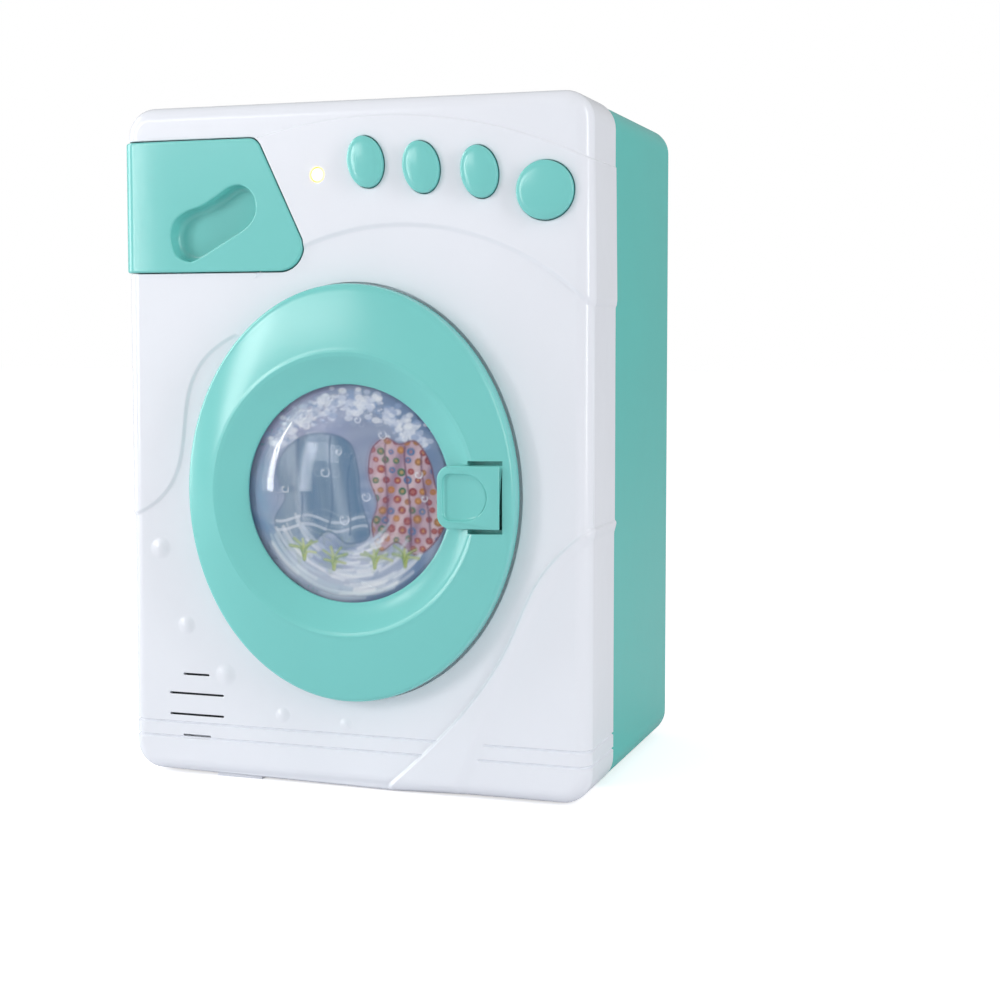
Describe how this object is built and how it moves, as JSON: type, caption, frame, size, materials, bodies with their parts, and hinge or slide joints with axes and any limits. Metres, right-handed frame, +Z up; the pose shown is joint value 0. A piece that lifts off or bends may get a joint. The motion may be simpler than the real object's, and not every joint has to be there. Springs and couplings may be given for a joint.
{
  "type": "toy washing machine",
  "caption": "Toy front-loading washing machine with an oval swing door, a clear domed window, a pull-out drawer, press buttons and a geared spinning drum.",
  "frame": {"origin": "bottom centre of the whole toy's box, on the surface that it stands on", "axes": "+Z up; the front panel faces -Y; +X is to the right of someone who faces the front"},
  "size_m": [0.1718, 0.136, 0.236],
  "materials": {
    "white_abs": "glossy injection-moulded ABS",
    "mint_abs": "glossy injection-moulded ABS",
    "rear_mint_abs": "satin injection-moulded ABS",
    "clear_window": "clear moulded polystyrene",
    "printed_card": "printed insert disc",
    "steel": "zinc-plated steel",
    "spring_steel": "nickel-plated spring wire",
    "acetal": "natural acetal",
    "brass": "turned brass",
    "circuit_board": "solder-masked board",
    "rubber": "silicone rubber",
    "lamp": "diffused warm lamp body",
    "speaker_black": "paper cone and painted basket",
    "cell_wrap": "printed sleeve of a round cell",
    "tub_plastic": "moulded polypropylene"
  },
  "bodies": {
    "cabinet": {"front_shell": "white_abs", "rear_shell": "rear_mint_abs", "shell_screws": "steel", "drum_tub": "tub_plastic", "drum_bearing": "brass", "tub_clips": "spring_steel", "gearbox_housing": "acetal", "gearbox_cover": "acetal", "gearbox_screws": "steel", "gear_axle": "steel", "motor": "steel", "control_board": "circuit_board", "board_screws": "steel", "button_pads": "rubber", "indicator_lamp": "lamp", "speaker": "speaker_black", "speaker_ring": "white_abs", "speaker_screws": "steel", "battery_cells": "cell_wrap", "battery_springs": "spring_steel", "battery_plates": "spring_steel", "drawer_guide": "white_abs"},
    "door": {"door_frame": "mint_abs", "door_liner": "rear_mint_abs", "door_screws": "steel", "door_window": "clear_window", "picture_disc": "printed_card", "hinge_pin": "steel", "latch_pin": "steel", "latch_spring": "spring_steel"},
    "latch": {"latch_tab": "mint_abs"},
    "drawer": {"drawer_front": "mint_abs", "drawer_tray": "mint_abs"},
    "left_button": {"oval_button_left": "mint_abs"},
    "middle_button": {"oval_button_middle": "mint_abs"},
    "right_button": {"oval_button_right": "mint_abs"},
    "big_button": {"round_button": "mint_abs"},
    "drum": {"drum_basket": "tub_plastic", "drum_shaft": "steel", "drum_gear": "acetal"},
    "middle_gear_body": {"middle_gear": "acetal"},
    "motor_rotor": {"motor_pinion": "brass", "motor_shaft": "steel"},
    "hatch": {"battery_hatch": "rear_mint_abs", "hatch_screw": "steel"}
  },
  "joints": [
    {"name": "door_hinge", "type": "hinge", "parent": "cabinet", "child": "door", "pos_m": [-0.0541, -0.0558, 0.103], "axis": [0, 0, -1], "range_deg": [0, 90]},
    {"name": "latch_pull", "type": "hinge", "parent": "door", "child": "latch", "pos_m": [0.0534, -0.0591, 0.1034], "axis": [0, 0, 1], "range_deg": [0, 9], "stiffness_Nm_per_rad": 0.05, "springref_deg": -5.73, "deforming": ["latch_spring"]},
    {"name": "drawer_slide", "type": "slide", "parent": "cabinet", "child": "drawer", "axis": [0, -1, 0], "range_m": [0, 0.05]},
    {"name": "left_button_press", "type": "slide", "parent": "cabinet", "child": "left_button", "axis": [0, 1, 0], "range_m": [0, 0.0012], "stiffness_N_per_m": 250, "springref_m": -0.001, "deforming": ["button_pads"]},
    {"name": "middle_button_press", "type": "slide", "parent": "cabinet", "child": "middle_button", "axis": [0, 1, 0], "range_m": [0, 0.0012], "stiffness_N_per_m": 250, "springref_m": -0.001, "deforming": ["button_pads"]},
    {"name": "right_button_press", "type": "slide", "parent": "cabinet", "child": "right_button", "axis": [0, 1, 0], "range_m": [0, 0.0012], "stiffness_N_per_m": 250, "springref_m": -0.001, "deforming": ["button_pads"]},
    {"name": "big_button_press", "type": "slide", "parent": "cabinet", "child": "big_button", "axis": [0, 1, 0], "range_m": [0, 0.0012], "stiffness_N_per_m": 250, "springref_m": -0.001, "deforming": ["button_pads"]},
    {"name": "drum_spin", "type": "hinge", "parent": "cabinet", "child": "drum", "pos_m": [0.0019, 0.018, 0.103], "axis": [0, 1, 0], "continuous": true},
    {"name": "middle_gear_spin", "type": "hinge", "parent": "cabinet", "child": "middle_gear_body", "pos_m": [0.02156, 0.031, 0.11677], "axis": [0, 1, 0], "continuous": true},
    {"name": "motor_spin", "type": "hinge", "parent": "cabinet", "child": "motor_rotor", "pos_m": [0.02503, 0.034, 0.13646], "axis": [0, 1, 0], "continuous": true},
    {"name": "hatch_pull", "type": "slide", "parent": "cabinet", "child": "hatch", "axis": [0, 1, 0], "range_m": [0, 0.02]}
  ],
  "couplings": [
    {"joint": "middle_gear_spin", "follows": "drum_spin", "ratio": -5},
    {"joint": "motor_spin", "follows": "drum_spin", "ratio": 20}
  ]
}
